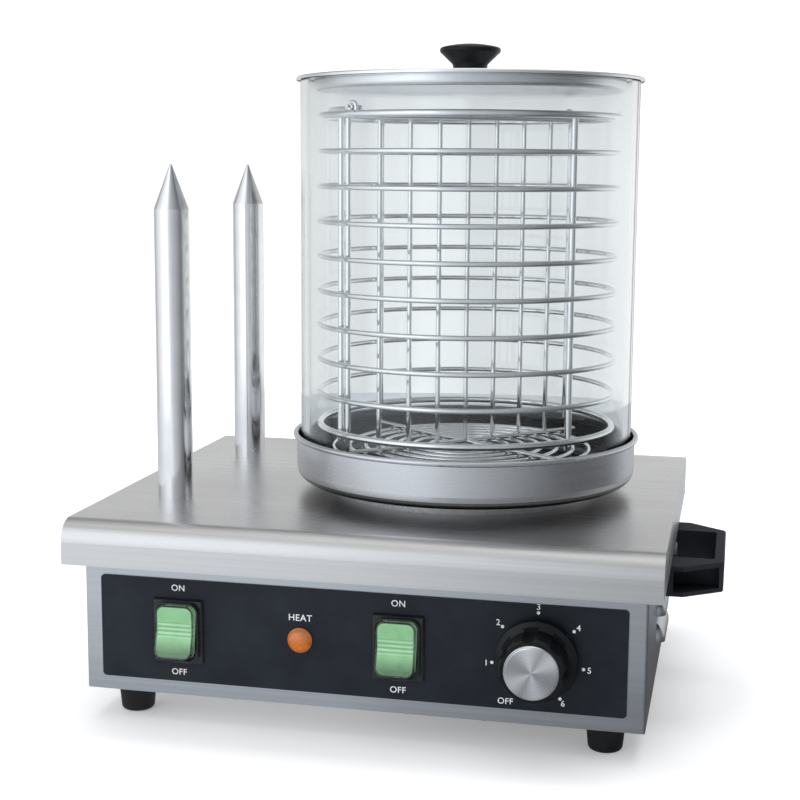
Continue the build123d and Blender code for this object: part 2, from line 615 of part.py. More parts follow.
# ---------------------------------------------------------------- bun spikes
def spike(y):
    """Hollow aluminium spike: straight barrel, long cone, spigot through the cover."""
    shoulder = SPIKE_TIP - SPIKE_CONE
    tip_r = 0.9
    outline = Wire([
        Line((0, COVER_TOP - 14), (SPIKE_SPIGOT_R, COVER_TOP - 14)),
        Line((SPIKE_SPIGOT_R, COVER_TOP - 14), (SPIKE_SPIGOT_R, COVER_TOP)),
        Line((SPIKE_SPIGOT_R, COVER_TOP), (SPIKE_R, COVER_TOP)),
        Line((SPIKE_R, COVER_TOP), (SPIKE_R, shoulder)),
        Line((SPIKE_R, shoulder), (tip_r, SPIKE_TIP - 0.9)),
        ThreePointArc((tip_r, SPIKE_TIP - 0.9), (tip_r * 0.78, SPIKE_TIP - 0.3), (0.3, SPIKE_TIP)),
        Line((0.3, SPIKE_TIP), (0, SPIKE_TIP)),
        Line((0, SPIKE_TIP), (0, COVER_TOP - 14)),
    ])
    body = turned(outline, SPIKE_X, y)
    return body - disc(SPIKE_X, y, COVER_TOP - 15, shoulder - 8, SPIKE_BORE_R)


def cartridge(y):
    """Cartridge heater inside a spike, with two lead pins below."""
    heater = disc(SPIKE_X, y, COVER_TOP - 10, SPIKE_TIP - SPIKE_CONE - 10, SPIKE_BORE_R - 0.1)
    for sx in (-1, 1):
        heater += disc(SPIKE_X + sx * 2, y, COVER_TOP - 26, COVER_TOP - 9.9, 0.9)
    return heater


write("front_spike", spike(SPIKE_Y[0]))
write("back_spike", spike(SPIKE_Y[1]))
write("spike_heaters", *[cartridge(y) for y in SPIKE_Y])
write("spike_washers", *[disc(SPIKE_X, y, HOUSING_TOP - 1.5, HOUSING_TOP, 13)
                         - disc(SPIKE_X, y, HOUSING_TOP - 3, HOUSING_TOP + 1, 8.1)
                         for y in SPIKE_Y])
write("spike_nuts", *[nut(SPIKE_X, y, HOUSING_TOP - 1.5 - 7, 8.0, 24, 7) for y in SPIKE_Y])


# ---------------------------------------------------------------- side handles
def handle_outline(inset):
    """Handle from above: flat base on the wall, arms that lean in to the grip."""
    wall = HOUSING_W / 2
    return [(wall + (6.0 if inset else 0), -HANDLE_BASE + inset),
            (HANDLE_SHOULDER, -HANDLE_BASE + inset),
            (HANDLE_REACH - inset, -HANDLE_GRIP + inset * 0.6),
            (HANDLE_REACH - inset, HANDLE_GRIP - inset * 0.6),
            (HANDLE_SHOULDER, HANDLE_BASE - inset),
            (wall + (6.0 if inset else 0), HANDLE_BASE - inset)]


def right_handle():
    height = HANDLE_TOP - HANDLE_FOOT
    body = Pos(0, 0, HANDLE_FOOT) * extrude(make_face(polygon(handle_outline(0))), height)
    edges = body.edges().filter_by(Axis.Z).group_by(Axis.X)[-1]
    body = fillet(edges, 3.0)
    top = body.faces().sort_by(Axis.Z)[-1].edges().filter_by(lambda e: e.center().X > 158)
    bottom = body.faces().sort_by(Axis.Z)[0].edges().filter_by(lambda e: e.center().X > 158)
    body = fillet(top + bottom, 1.0)
    # Finger gap right through
    gap = Pos(174.4, 0, HANDLE_FOOT - 1) * extrude(RectangleRounded(25.6, 66, 2.0), height + 2)
    body -= gap
    # Open pocket in the outer face of each arm, to a thin web behind the finger gap
    for sy in (-1, 1):
        body -= block(165.0, HANDLE_REACH - 2.6, sy * 35.4, sy * 70,
                      HANDLE_FOOT + 2.7, HANDLE_TOP - 2.7)
    # Clearance for the two fixing screws
    for y in HANDLE_SCREW_Y:
        body -= rod(2.2, (HOUSING_W / 2 - 1, y, HANDLE_SCREW_Z), (163, y, HANDLE_SCREW_Z))
    return body


def handle_screw(sx, y):
    """Pan head screw inside the finger gap, with its nut behind the wall."""
    wall = HOUSING_W / 2
    seat = 161.6
    head = rod(3.8, (sx * seat, y, HANDLE_SCREW_Z), (sx * (seat + 2.4), y, HANDLE_SCREW_Z))
    slot = block(sx * (seat + 1.2), sx * (seat + 4), y - 0.5, y + 0.5,
                 HANDLE_SCREW_Z - 2.6, HANDLE_SCREW_Z + 2.6)
    shank = rod(2.0, (sx * (wall - 8), y, HANDLE_SCREW_Z), (sx * (seat + 0.1), y, HANDLE_SCREW_Z))
    return head - slot + shank


def handle_nut(sx, y):
    inner = HOUSING_W / 2 - SHEET
    face = Plane.YZ * (RegularPolygon(3.5, 6, major_radius=False) - Circle(2.0))
    solid = extrude(face, amount=3.2)
    place = inner - 3.2 if sx > 0 else -inner
    return Pos(place, y, HANDLE_SCREW_Z) * solid


handle = right_handle()
write("right_handle", handle)
write("left_handle", mirrored(handle))
write("handle_screws", *[handle_screw(sx, y) for sx in (-1, 1) for y in HANDLE_SCREW_Y])
write("handle_nuts", *[handle_nut(sx, y) for sx in (-1, 1) for y in HANDLE_SCREW_Y])


# ---------------------------------------------------------------- mains inlet and wiring
def cable_gland():
    """Screwed gland in the rear wall: thread, hexagon, domed cap with its hole."""
    wall = HOUSING_D / 2
    reach = -CAP_FACE - wall
    hexagon_face = Plane.XZ * RegularPolygon(12, 6, major_radius=False)
    gland = Pos(GLAND_X, wall + 5.5, GLAND_Z) * extrude(hexagon_face, amount=5.5)
    points = [(0, 5.4), (11.5, 5.4), (11.5, reach - 8), (10.6, reach - 4),
              (8.2, reach), (0, reach)]
    gland += Pos(GLAND_X, wall, GLAND_Z) * Rot(-90, 0, 0) * revolve(
        Plane.XZ * make_face(polygon(points)), Axis.Z)
    gland += rod(10.0, (GLAND_X, wall - 9, GLAND_Z), (GLAND_X, wall + 0.1, GLAND_Z))
    return gland - rod(4.0, (GLAND_X, wall - 10, GLAND_Z), (GLAND_X, wall + reach + 1, GLAND_Z))


def gland_nut():
    face = Plane.XZ * (RegularPolygon(13, 6, major_radius=False) - Circle(10.0))
    return Pos(GLAND_X, HOUSING_D / 2 - SHEET, GLAND_Z) * extrude(face, amount=5)


def terminal_block():
    """Ceramic block with three pairs of clamp screws."""
    x0, y0, z0 = 60.0, 90.0, HOUSING_BASE + SHEET
    body = block(x0, x0 + 36, y0, y0 + 20, z0, z0 + 17)
    for pole in range(3):
        x = x0 + 6 + pole * 12
        body -= rod(2.4, (x, y0 - 1, z0 + 9), (x, y0 + 21, z0 + 9))
        for y in (y0 + 5, y0 + 15):
            body -= disc(x, y, z0 + 12, z0 + 18, 1.8)
    return body


def earth_stud():
    """Earth stud welded to the rear wall with a nut and washer."""
    wall = HOUSING_D / 2 - SHEET
    x, z = 60.0, 60.0
    stud = rod(2.0, (x, wall, z), (x, wall - 14, z))
    stud += rod(5.0, (x, wall - 3, z), (x, wall - 4, z))
    face = Plane.XZ * RegularPolygon(3.5, 6, major_radius=False)
    return stud + Pos(x, wall - 4, z) * extrude(face, amount=3.2)


def wiring():
    """Insulated leads from the terminals to the switches, and on to the front spike."""
    feed, low = HOUSING_BASE + SHEET + 9, HOUSING_BASE + 14
    rear, tabs = 89.9, FRONT + 36.1
    leads = []
    for pole, tab in enumerate((-9, 0, 9)):
        x, z = 66 + pole * 12, PANEL_Z + tab
        end_x = SWITCH_X[1]
        leads.append(bent_wire([(x, rear, feed), (x, 60, feed), (end_x, 10, low + pole * 6),
                                (end_x, -50, z), (end_x, tabs, z)], 6.0, 1.1))
    spike_x, spike_y = SPIKE_X + 2, SPIKE_Y[0]
    leads.append(bent_wire([(spike_x, spike_y, COVER_TOP - 26.1), (spike_x, spike_y, PANEL_Z),
                            (SWITCH_X[0], -70, PANEL_Z), (SWITCH_X[0], tabs, PANEL_Z)],
                           6.0, 1.1))
    return leads


write("cable_gland", cable_gland())
write("gland_nut", gland_nut())
write("terminal_block", terminal_block())
write("earth_stud", earth_stud())
write("wiring", *wiring())


# ---------------------------------------------------------------- pan, glass and lid
def water_pan():
    """Spun steel pan with a round lower corner and a rolled rim."""
    corner = PAN_CORNER
    inner = corner - SHEET
    s = 1 - sqrt(0.5)
    foot_z, top = PAN_FLOOR, PAN_RIM - PAN_BEAD_R
    outline = Wire([
        Line((0, foot_z), (PAN_R - corner, foot_z)),
        ThreePointArc((PAN_R - corner, foot_z), (PAN_R - corner * s, foot_z + corner * s),
                      (PAN_R, foot_z + corner)),
        Line((PAN_R, foot_z + corner), (PAN_R, top)),
        Line((PAN_R, top), (PAN_R - SHEET, top)),
        Line((PAN_R - SHEET, top), (PAN_R - SHEET, foot_z + corner)),
        ThreePointArc((PAN_R - SHEET, foot_z + corner),
                      (PAN_R - SHEET - inner * s, foot_z + SHEET + inner * s),
                      (PAN_R - corner, foot_z + SHEET)),
        Line((PAN_R - corner, foot_z + SHEET), (0, foot_z + SHEET)),
        Line((0, foot_z + SHEET), (0, foot_z)),
    ])
    pan = turned(outline, GLASS_X, GLASS_Y)
    bead = Pos(GLASS_X, GLASS_Y, top) * Torus(PAN_R - SHEET + PAN_BEAD_R, PAN_BEAD_R)
    return pan + bead


def glass_cylinder():
    """Open glass tube with ground, slightly rounded ends."""
    bottom, top = GLASS_FOOT, LID_TOP - SHEET
    inner, edge = GLASS_R - GLASS_WALL, GLASS_EDGE
    outline = polygon([(inner, bottom + edge), (inner + edge, bottom),
                       (GLASS_R - edge, bottom), (GLASS_R, bottom + edge),
                       (GLASS_R, top - edge), (GLASS_R - edge, top),
                       (inner + edge, top), (inner, top - edge)])
    return turned(outline, GLASS_X, GLASS_Y)


def lid():
    """Spun lid: flat flange on the glass, dished middle that keeps it centred."""
    top, floor = LID_TOP, LID_TOP - LID_PLUG_DEPTH
    r, edge = LID_PLUG_R, 3.0
    outline = Wire([
        Line((0, floor), (r - edge, floor)),
        ThreePointArc((r - edge, floor), (r - edge * 0.29, floor + edge * 0.29),
                      (r, floor + edge)),
        Line((r, floor + edge), (r, top - SHEET)),
        Line((r, top - SHEET), (LID_R - 0.5, top - SHEET)),
        Line((LID_R - 0.5, top - SHEET), (LID_R - 0.5, top - 1.9)),
        Line((LID_R - 0.5, top - 1.9), (LID_R, top - 1.9)),
        Line((LID_R, top - 1.9), (LID_R, top - 0.6)),
        Line((LID_R, top - 0.6), (LID_R - 0.6, top)),
        Line((LID_R - 0.6, top), (r - SHEET, top)),
        Line((r - SHEET, top), (r - SHEET, floor + edge)),
        ThreePointArc((r - SHEET, floor + edge),
                      (r - SHEET - (edge - 1) * 0.29, floor + SHEET + (edge - 1) * 0.29),
                      (r - edge, floor + SHEET)),
        Line((r - edge, floor + SHEET), (0, floor + SHEET)),
        Line((0, floor + SHEET), (0, floor)),
    ])
    return turned(outline, GLASS_X, GLASS_Y)


def lid_knob():
    """Black moulded knob: flared foot, straight flank, thick round edge, shallow dome."""
    base = LID_TOP - LID_PLUG_DEPTH + SHEET
    top = LID_KNOB_TOP
    outline = Wire([
        Line((0, base), (13.0, base)),
        Line((13.0, base), (12.6, base + 2.2)),
        ThreePointArc((12.6, base + 2.2), (10.6, base + 7.5), (10.2, base + 14.2)),
        ThreePointArc((10.2, base + 14.2), (10.45, base + 15.3), (11.1, base + 16.2)),
        Line((11.1, base + 16.2), (17.0, base + 21.8)),
        ThreePointArc((17.0, base + 21.8), (18.0, base + 23.7), (16.6, base + 25.4)),
        ThreePointArc((16.6, base + 25.4), (9.0, top - 0.55), (0.6, top)),
        Line((0.6, top), (0, top)),
        Line((0, top), (0, base)),
    ])
    knob = turned(outline, GLASS_X, GLASS_Y)
    return knob - disc(GLASS_X, GLASS_Y, base - 1, base + 14, 2.5)


def lid_knob_stud():
    """Stud welded on the floor of the lid; the knob is screwed down on it."""
    floor = LID_TOP - LID_PLUG_DEPTH + SHEET
    return disc(GLASS_X, GLASS_Y, floor, floor + 13, 2.45)


write("water_pan", water_pan())
write("glass_cylinder", glass_cylinder())
write("lid", lid())
write("lid_knob", lid_knob())
write("lid_knob_stud", lid_knob_stud())


# ---------------------------------------------------------------- wire basket
def hoop(level):
    """One hoop; the first and last are the thicker rim wires."""
    z = HOOP_TOP - (HOOP_TOP - HOOP_FOOT) * level / (HOOPS - 1)
    wire = RIM_WIRE if level in (0, HOOPS - 1) else HOOP_WIRE
    radius = HOOP_R + RIM_WIRE - wire
    return Pos(GLASS_X, GLASS_Y, z) * Torus(radius, wire)


def post(angle):
    x, y = around(angle, HOOP_R - RIM_WIRE - POST_WIRE - WELD)
    return disc(x, y, HOOP_FOOT - 5.5, HOOP_TOP + 1.5, POST_WIRE)


def across(angle, along, offset):
    """Point in plan, measured along a diameter and square to it (+ is to the back left)."""
    ax, ay = sin(radians(angle)), -cos(radians(angle))
    return (GLASS_X + ax * along + ay * offset, GLASS_Y + ay * along - ax * offset)


def divider_wire(index):
    """Upright wire from the floor's bars to just above the rim; the end ones stay below the bail."""
    step = index - (DIVIDER_COUNT - 1) // 2
    x, y = across(DIVIDER_ANGLE, step * DIVIDER_PITCH, 0)
    top = HOOP_TOP + (1.9 if index in (0, DIVIDER_COUNT - 1) else 2.6)
    return disc(x, y, GRID_BAR_Z + GRID_WIRE + WELD, top, DIVIDER_WIRE)


def cross_bar(angle, offset, z, reach, wire):
    start = across(angle, -reach, offset)
    end = across(angle, reach, offset)
    return rod(wire, (*start, z), (*end, z))


def half_bar(sign):
    """Half of the second floor bar, from the flank of the first one outwards."""
    start = across(CROSS_ANGLE, sign * (2 * GRID_WIRE + 0.3), 0)
    end = across(CROSS_ANGLE, sign * BAR_REACH, 0)
    return rod(GRID_WIRE, (*start, GRID_BAR_Z), (*end, GRID_BAR_Z))


def grid_spiral():
    """Floor of the basket: a flat spiral of half circles that grow by half a pitch."""
    half_turns = 2 * GRID_TURNS
    centre_step = GRID_PITCH / 4
    inner = 4.4
    arcs = []
    for k in range(half_turns):
        radius = inner + k * GRID_PITCH / 2
        side = 1 if k % 2 == 0 else -1
        cx = centre_step * side
        start, middle, end = (cx - side * radius, 0), (cx, side * radius), (cx + side * radius, 0)
        arcs.append(ThreePointArc(start, middle, end))
    path = Wire(arcs)
    first = arcs[0]
    section = Plane(origin=first @ 0, z_dir=first % 0) * Circle(GRID_WIRE)
    return Pos(GLASS_X, GLASS_Y, GRID_Z) * sweep(section, path=path)


def bail_staple(sign):
    """Small loop on the top rim that a bail end turns in."""
    legs, wire = 2.8, 1.1
    foot_z = HOOP_TOP + RIM_WIRE + WELD
    arch_z = BAIL_Z + 0.1
    rise = Line((-legs, foot_z), (-legs, arch_z))
    arch = ThreePointArc((-legs, arch_z), (0, arch_z + legs), (legs, arch_z))
    fall = Line((legs, arch_z), (legs, foot_z))
    x, y = around(BAIL_ANGLE if sign > 0 else BAIL_ANGLE + 180, HOOP_R)
    frame = Plane(origin=(x, y, 0), x_dir=(cos(radians(BAIL_ANGLE)), sin(radians(BAIL_ANGLE)), 0),
                  z_dir=(sin(radians(BAIL_ANGLE)), -cos(radians(BAIL_ANGLE)), 0))
    path = frame * Wire([rise, arch, fall])
    section = Plane(origin=path @ 0, z_dir=(0, 0, 1)) * Circle(wire)
    return sweep(section, path=path)


BAIL_Z = HOOP_TOP + RIM_WIRE + BAIL_WIRE + FIT


def arc_wire(x, y, bend, start, span, wire):
    """Part of a ring of round wire about (x, y), from one angle over a span, in degrees."""
    ring = revolve(Pos(bend, 0, 0) * Rot(90, 0, 0) * Circle(wire), Axis.Z, revolution_arc=span)
    return Pos(x, y, 0) * Rot(0, 0, start) * ring


def bail_handle():
    """Half hoop folded down on the rim, its ends turned out through the staples."""
    reach, bend = HOOP_R + 4.2, 3.0
    wire = arc_wire(0, bend, BAIL_R, 0, 180, BAIL_WIRE)
    for sx, start in ((1, 180), (-1, 270)):
        corner = sx * (BAIL_R + bend)
        wire += arc_wire(corner, bend, bend, start, 90, BAIL_WIRE)
        wire += rod(BAIL_WIRE, (corner, 0, 0), (sx * reach, 0, 0))
    # Drawn on the +Y side of its own X axis, then turned to lie at the back left
    return Pos(GLASS_X, GLASS_Y, BAIL_Z) * Rot(0, 0, 90 + BAIL_ANGLE) * wire


write("basket_hoops", *[hoop(level) for level in range(HOOPS)])
write("basket_posts", *[post(angle) for angle in POST_ANGLES])
write("basket_divider", *[divider_wire(i) for i in range(DIVIDER_COUNT)],
      cross_bar(DIVIDER_ANGLE, -2 * DIVIDER_WIRE - WELD, HOOP_TOP, BAR_REACH, DIVIDER_WIRE))
write("basket_grid", grid_spiral())
write("basket_grid_bars",
      cross_bar(DIVIDER_ANGLE, 0, GRID_BAR_Z, BAR_REACH, GRID_WIRE), half_bar(1), half_bar(-1))
legs = []
for angle in (DIVIDER_ANGLE, CROSS_ANGLE):
    for sign in (1, -1):
        x, y = across(angle, sign * LEG_R, 0)
        legs.append(disc(x, y, PAN_FLOOR + SHEET + 0.02, GRID_BAR_Z - GRID_WIRE - WELD, GRID_WIRE))
write("basket_legs", *legs)
write("bail_staples", bail_staple(1), bail_staple(-1))
write("bail_handle", bail_handle())
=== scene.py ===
from math import cos, pi, radians, sin

import bpy
from mathutils import Matrix, Vector


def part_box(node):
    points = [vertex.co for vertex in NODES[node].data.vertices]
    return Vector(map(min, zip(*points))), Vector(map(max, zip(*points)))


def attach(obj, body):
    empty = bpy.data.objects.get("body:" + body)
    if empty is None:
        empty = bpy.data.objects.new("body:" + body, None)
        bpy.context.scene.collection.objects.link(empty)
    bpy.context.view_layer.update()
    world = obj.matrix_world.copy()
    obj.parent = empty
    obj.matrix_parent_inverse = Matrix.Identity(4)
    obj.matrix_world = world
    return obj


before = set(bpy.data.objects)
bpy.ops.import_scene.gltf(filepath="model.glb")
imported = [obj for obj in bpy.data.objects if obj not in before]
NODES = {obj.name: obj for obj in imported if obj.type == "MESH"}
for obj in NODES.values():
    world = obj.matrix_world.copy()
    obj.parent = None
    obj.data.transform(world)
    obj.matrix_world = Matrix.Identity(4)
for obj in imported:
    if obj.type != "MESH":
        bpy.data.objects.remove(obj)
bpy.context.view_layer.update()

# ------------------------------------------------------------------ places taken from the frame
panel_lo, panel_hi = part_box("control_panel")
glass_lo, glass_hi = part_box("glass_cylinder")
knob_lo, knob_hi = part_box("thermostat_knob")
lamp_lo, lamp_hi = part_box("pilot_lamp_lens")
PANEL_FACE = panel_lo[1]
PANEL_MID_Z = (panel_lo[2] + panel_hi[2]) / 2
GLASS_X = (glass_lo[0] + glass_hi[0]) / 2
GLASS_Y = (glass_lo[1] + glass_hi[1]) / 2
KNOB_X = (knob_lo[0] + knob_hi[0]) / 2
LAMP_X = (lamp_lo[0] + lamp_hi[0]) / 2


# ------------------------------------------------------------------ node helpers
class Tree:
    """Small helper that builds one material's node tree."""

    def __init__(self, name):
        self.material = bpy.data.materials.new(name)
        self.material.use_nodes = True
        self.nodes = self.material.node_tree.nodes
        self.links = self.material.node_tree.links
        self.shader = self.nodes["Principled BSDF"]

    def add(self, kind, **settings):
        node = self.nodes.new(kind)
        for key, value in settings.items():
            setattr(node, key, value)
        return node

    def link(self, source, target):
        self.links.new(source, target)

    def feed(self, node, index, value):
        """Puts a number, a tuple or another node's output into an input."""
        if isinstance(value, (int, float, tuple, list)):
            node.inputs[index].default_value = value
        else:
            self.link(value, node.inputs[index])

    def math(self, operation, a, b=0.0, clamp=False):
        node = self.add("ShaderNodeMath", operation=operation, use_clamp=clamp)
        self.feed(node, 0, a)
        self.feed(node, 1, b)
        return node.outputs[0]

    def position(self):
        return self.add("ShaderNodeTexCoord").outputs["Object"]

    def split(self, vector):
        """The three parts of a vector."""
        node = self.add("ShaderNodeSeparateXYZ")
        self.link(vector, node.inputs[0])
        return node.outputs[0], node.outputs[1], node.outputs[2]

    def join(self, x, y, z):
        """A vector from three numbers or outputs."""
        node = self.add("ShaderNodeCombineXYZ")
        for index, value in enumerate((x, y, z)):
            self.feed(node, index, value)
        return node.outputs[0]

    def stretch(self, vector, x, y, z):
        """A vector scaled along its three axes."""
        node = self.add("ShaderNodeVectorMath", operation="MULTIPLY")
        self.link(vector, node.inputs[0])
        node.inputs[1].default_value = (x, y, z)
        return node.outputs[0]

    def noise(self, vector, scale=1.0, detail=3.0, roughness=0.5):
        node = self.add("ShaderNodeTexNoise")
        self.link(vector, node.inputs["Vector"])
        node.inputs["Scale"].default_value = scale
        node.inputs["Detail"].default_value = detail
        node.inputs["Roughness"].default_value = roughness
        return node.outputs["Fac"]

    def range(self, value, low, high, from_low=0.3, from_high=0.7):
        """Carries a value from its own range to low..high."""
        node = self.add("ShaderNodeMapRange")
        self.link(value, node.inputs["Value"])
        node.inputs["From Min"].default_value = from_low
        node.inputs["From Max"].default_value = from_high
        node.inputs["To Min"].default_value = low
        node.inputs["To Max"].default_value = high
        return node.outputs["Result"]

    def blend(self, factor, a, b):
        """Colour a to colour b by a 0-1 factor."""
        node = self.add("ShaderNodeMix", data_type="RGBA")
        self.link(factor, node.inputs[0])
        for index, value in ((6, a), (7, b)):
            if isinstance(value, tuple):
                node.inputs[index].default_value = (*value, 1.0)
            else:
                self.link(value, node.inputs[index])
        return node.outputs[2]

    def bump(self, height, distance, strength=1.0):
        node = self.add("ShaderNodeBump")
        node.inputs["Strength"].default_value = strength
        node.inputs["Distance"].default_value = distance
        self.link(height, node.inputs["Height"])
        return node.outputs["Normal"]

    def set(self, **values):
        """Sets the shader's sockets by name, with _ for a space."""
        for key, value in values.items():
            socket = self.shader.inputs[key.replace("_", " ")]
            if isinstance(value, (int, float)):
                socket.default_value = value
            elif isinstance(value, tuple):
                socket.default_value = (*value, 1.0)[:len(socket.default_value)]
            else:
                self.link(value, socket)


# ------------------------------------------------------------------ materials
GRAIN_FINE, GRAIN_ALONG = 2600, 12      # brushed lines per metre, across and along the grain
SPUN_RINGS = 2400                       # turned rings per metre
TURNED_ANISOTROPY = 0.6
RIDGE_PITCH, RIDGE_HALF = 0.0024, 0.0042    # painted highlights and shade of a rocker's finger ridges: their pitch, and how far they reach


def brushed_steel(name, colour, rough=0.3, grain=1.0):
    """Sheet steel with straight grain: along X, and along Y where a face looks to the side."""
    t = Tree(name)
    position = t.position()
    facing = t.split(t.add("ShaderNodeNewGeometry").outputs["Normal"])[0]
    side = t.math("GREATER_THAN", t.math("ABSOLUTE", facing), 0.7)
    along_x = t.stretch(position, GRAIN_ALONG, GRAIN_FINE, GRAIN_FINE)
    along_y = t.stretch(position, GRAIN_FINE, GRAIN_ALONG, GRAIN_FINE)
    fine = t.add("ShaderNodeMix", data_type="VECTOR")
    t.link(side, fine.inputs[0])
    t.link(along_x, fine.inputs[4])
    t.link(along_y, fine.inputs[5])
    lines = t.noise(fine.outputs[1], 1.0, 2.0, 0.6)
    coarse = t.noise(t.stretch(fine.outputs[1], 0.22, 0.22, 0.22), 1.0, 3.0, 0.6)
    blotch = t.noise(position, 9.0, 3.0)
    shade = t.blend(t.range(coarse, 0.0, 1.0), tuple(c * 0.9 for c in colour), colour)
    t.set(Base_Color=shade, Metallic=1.0,
          Roughness=t.math("ADD", t.range(coarse, rough - 0.05, rough + 0.06),
                           t.range(blotch, -0.02, 0.03)),
          Normal=t.bump(lines, 0.00002 * grain, 0.9))
    return t.material


def spun_steel(name, colour, rough, centre, inside=None, streak=0.95):
    """Metal spun on a lathe: fine rings about an upright axis; inside is (radius, factor) of a
    painted shade that darkens the metal closer to the axis than that radius.
    """
    t = Tree(name)
    x, y, z = t.split(t.position())
    dx, dy = t.math("SUBTRACT", x, centre[0]), t.math("SUBTRACT", y, centre[1])
    radius = t.math("SQRT", t.math("ADD", t.math("MULTIPLY", dx, dx), t.math("MULTIPLY", dy, dy)))
    angle = t.math("ARCTAN2", dy, dx)
    ring = t.join(t.math("MULTIPLY", radius, SPUN_RINGS), t.math("MULTIPLY", angle, 0.9),
                  t.math("MULTIPLY", z, SPUN_RINGS))
    lines = t.noise(ring, 1.0, 3.0, 0.6)
    coarse = t.noise(t.stretch(ring, 0.18, 1.0, 0.18), 1.0, 2.0, 0.5)
    shade = t.blend(t.range(coarse, 0.0, 1.0), tuple(c * streak for c in colour), colour)
    # Painted shade: the metal closer to the axis than the given radius is darkened, standing for
    # the shade in the pan.
    if inside:
        painted_shade_zone = t.math("LESS_THAN", radius, inside[0])
        shade = t.blend(painted_shade_zone, shade, tuple(c * inside[1] for c in colour))
    tangent = t.add("ShaderNodeTangent", direction_type="RADIAL", axis="Z")
    t.set(Base_Color=shade, Metallic=1.0, Roughness=t.range(coarse, rough - 0.01, rough + 0.015),
          Anisotropic=TURNED_ANISOTROPY, Tangent=tangent.outputs[0],
          Normal=t.bump(lines, 0.0000015, 0.6))
    return t.material


def cap_with_painted_highlights(name, dark, bright, rough, centre, painted_highlights):
    """Face-turned aluminium: fine rings, and bright painted highlights across the middle (angle,
    width).
    """
    t = Tree(name)
    x, y, z = t.split(t.position())
    dx, dz = t.math("SUBTRACT", x, centre[0]), t.math("SUBTRACT", z, centre[1])
    radius = t.math("SQRT", t.math("ADD", t.math("MULTIPLY", dx, dx), t.math("MULTIPLY", dz, dz)))
    radius = t.math("MAXIMUM", radius, 0.0001)
    glow = None
    # Painted highlights: bright streaks in the base colour, fixed on the cap.
    for degrees, power in painted_highlights:
        turn = radians(degrees)
        along = t.math("ADD", t.math("MULTIPLY", dx, sin(turn)), t.math("MULTIPLY", dz, cos(turn)))
        painted_highlight = t.math("POWER", t.math("ABSOLUTE", t.math("DIVIDE", along, radius)), power)
        glow = painted_highlight if glow is None else t.math("MAXIMUM", glow, painted_highlight)
    rings = t.noise(t.join(t.math("MULTIPLY", radius, 3000.0), 0.0, 0.0), 1.0, 3.0, 0.6)
    glow = t.math("ADD", t.math("MULTIPLY", glow, 0.94), t.range(rings, -0.03, 0.035), clamp=True)
    t.set(Base_Color=t.blend(glow, dark, bright), Metallic=1.0,
          Roughness=t.range(rings, rough - 0.03, rough + 0.04),
          Anisotropic=TURNED_ANISOTROPY,
          Normal=t.bump(rings, 0.000004, 0.6))
    return t.material


def polished(name, colour, rough, draw=(1, 1, 1), bump=0.00001):
    """Bright drawn metal with faint marks along its length."""
    t = Tree(name)
    position = t.position()
    marks = t.noise(t.stretch(position, *(900 * d for d in draw)), 1.0, 3.0, 0.6)
    haze = t.noise(position, 60.0, 4.0)
    shade = t.blend(t.range(haze, 0.0, 1.0), tuple(c * 0.92 for c in colour), colour)
    t.set(Base_Color=shade, Metallic=1.0, Roughness=t.range(marks, rough * 0.7, rough * 1.4),
          Normal=t.bump(marks, bump, 0.6))
    return t.material


def moulded(name, colour, rough, grain=0.00002, scale=1500.0, shine=0.4):
    """Moulded plastic or rubber: fine spark grain, soft worn patches."""
    t = Tree(name)
    position = t.position()
    pebble = t.noise(position, scale, 2.0, 0.5)
    patch = t.noise(position, 45.0, 4.0, 0.6)
    shade = t.blend(t.range(patch, 0.0, 1.0), colour, tuple(c * 1.35 + 0.004 for c in colour))
    t.set(Base_Color=shade, Roughness=t.range(patch, rough - 0.05, rough + 0.07),
          Specular_IOR_Level=shine, Normal=t.bump(pebble, grain, 0.8))
    return t.material


def clear(name, colour, ior, rough=0.0, ripple=0.0):
    """Clear glass or plastic."""
    t = Tree(name)
    position = t.position()
    wave = t.noise(t.stretch(position, 14, 14, 5), 1.0, 2.0, 0.4)
    t.set(Base_Color=colour, Transmission_Weight=1.0, IOR=ior,
          Roughness=t.range(t.noise(position, 80.0, 3.0), rough, rough + 0.012),
          Normal=t.bump(wave, ripple, 1.0))
    return t.material


def frosted(name, colour, rough, through):
    """Milky clear plastic; through is the share of light that passes."""
    t = Tree(name)
    cloud = t.noise(t.position(), 220.0, 3.0)
    shade = t.blend(t.range(cloud, 0.0, 1.0), tuple(c * 0.94 for c in colour), colour)
    t.set(Base_Color=shade, Transmission_Weight=through, IOR=1.45,
          Roughness=t.range(cloud, rough - 0.02, rough + 0.03),
          Normal=t.bump(cloud, 0.000004, 0.6))
    return t.material


